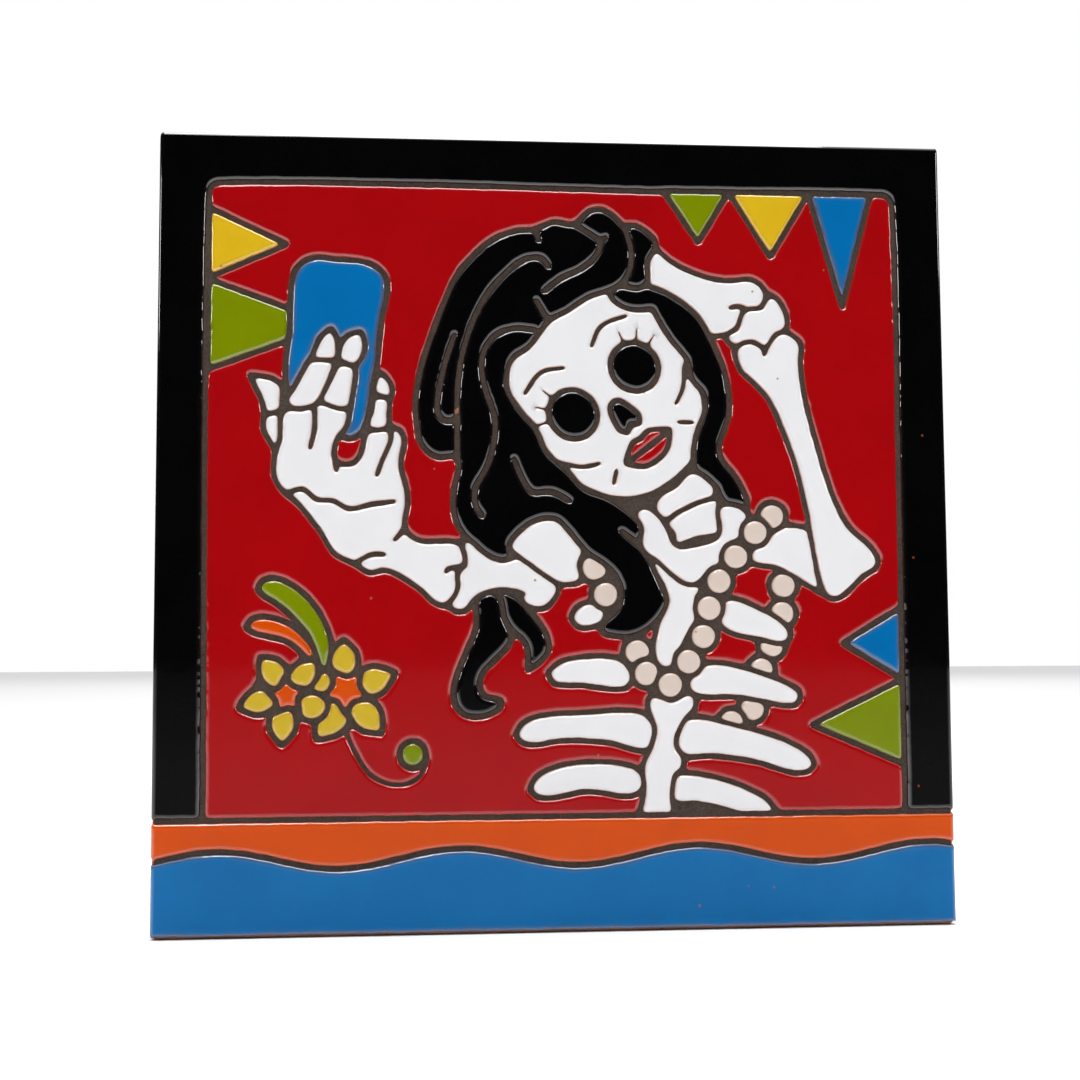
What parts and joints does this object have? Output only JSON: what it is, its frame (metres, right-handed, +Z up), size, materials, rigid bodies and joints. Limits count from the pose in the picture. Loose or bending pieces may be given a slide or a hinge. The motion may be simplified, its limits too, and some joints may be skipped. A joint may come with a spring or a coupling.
{
  "type": "ceramic art tile",
  "caption": "Square glazed ceramic art tile with a dry-line picture of a skeleton lady in a bead necklace holding up a phone; stands on its foot or bonds to a wall by its ribbed back.",
  "frame": {"origin": "middle of the tile's foot, half way through its thickness", "axes": "+Z up the tile, picture faces -Y, +X to the right of someone who looks at the picture"},
  "size_m": [0.152, 0.0072, 0.152],
  "materials": {
    "fired_clay": "matte, unglazed",
    "dry_line": "matte, dry and unglazed",
    "black_glaze": "gloss",
    "orange_glaze": "gloss",
    "blue_glaze": "gloss",
    "red_glaze": "gloss",
    "yellow_glaze": "gloss",
    "green_glaze": "gloss",
    "petal_glaze": "gloss",
    "white_glaze": "gloss",
    "bead_glaze": "satin"
  },
  "bodies": {
    "root": {"tile_body": "fired_clay", "dry_line": "dry_line", "border_glaze": "black_glaze", "orange_band_glaze": "orange_glaze", "blue_wave_glaze": "blue_glaze", "red_ground_glaze": "red_glaze", "left_yellow_flag": "yellow_glaze", "left_green_flag": "green_glaze", "top_green_flag": "green_glaze", "top_yellow_flag": "yellow_glaze", "top_blue_flag": "blue_glaze", "right_blue_flag": "blue_glaze", "right_green_flag": "green_glaze", "green_leaf": "green_glaze", "orange_leaf": "orange_glaze", "right_petals": "petal_glaze", "left_petals": "petal_glaze", "flower_centres": "orange_glaze", "flower_bud": "green_glaze", "phone": "blue_glaze", "thumb_tip": "white_glaze", "thumb_base": "white_glaze", "left_hand_and_forearm": "white_glaze", "index_finger_base": "white_glaze", "index_finger_tip": "white_glaze", "middle_finger_base": "white_glaze", "middle_finger_tip": "white_glaze", "ring_finger_base": "white_glaze", "ring_finger_tip": "white_glaze", "hidden_rib": "white_glaze", "left_beads": "bead_glaze", "back_beads": "bead_glaze", "upper_breastbone": "white_glaze", "lower_breastbone": "white_glaze", "left_rib_1": "white_glaze", "left_rib_2": "white_glaze", "left_rib_3": "white_glaze", "right_rib_1": "white_glaze", "right_rib_2": "white_glaze", "right_rib_3": "white_glaze", "right_rib_4": "white_glaze", "skull": "white_glaze", "eye_sockets": "black_glaze", "nose": "black_glaze", "lips": "red_glaze", "right_forearm": "white_glaze", "right_elbow": "white_glaze", "right_upper_arm": "white_glaze", "right_hair": "black_glaze", "back_hair_lock": "black_glaze", "upper_neck": "white_glaze", "lower_neck": "white_glaze", "left_collarbone": "white_glaze", "right_collarbone": "white_glaze", "short_hair_lock": "black_glaze", "long_hair_lock": "black_glaze", "main_hair": "black_glaze", "left_upper_arm": "white_glaze", "left_shoulder_blade": "white_glaze", "front_beads": "bead_glaze"}
  },
  "joints": []
}
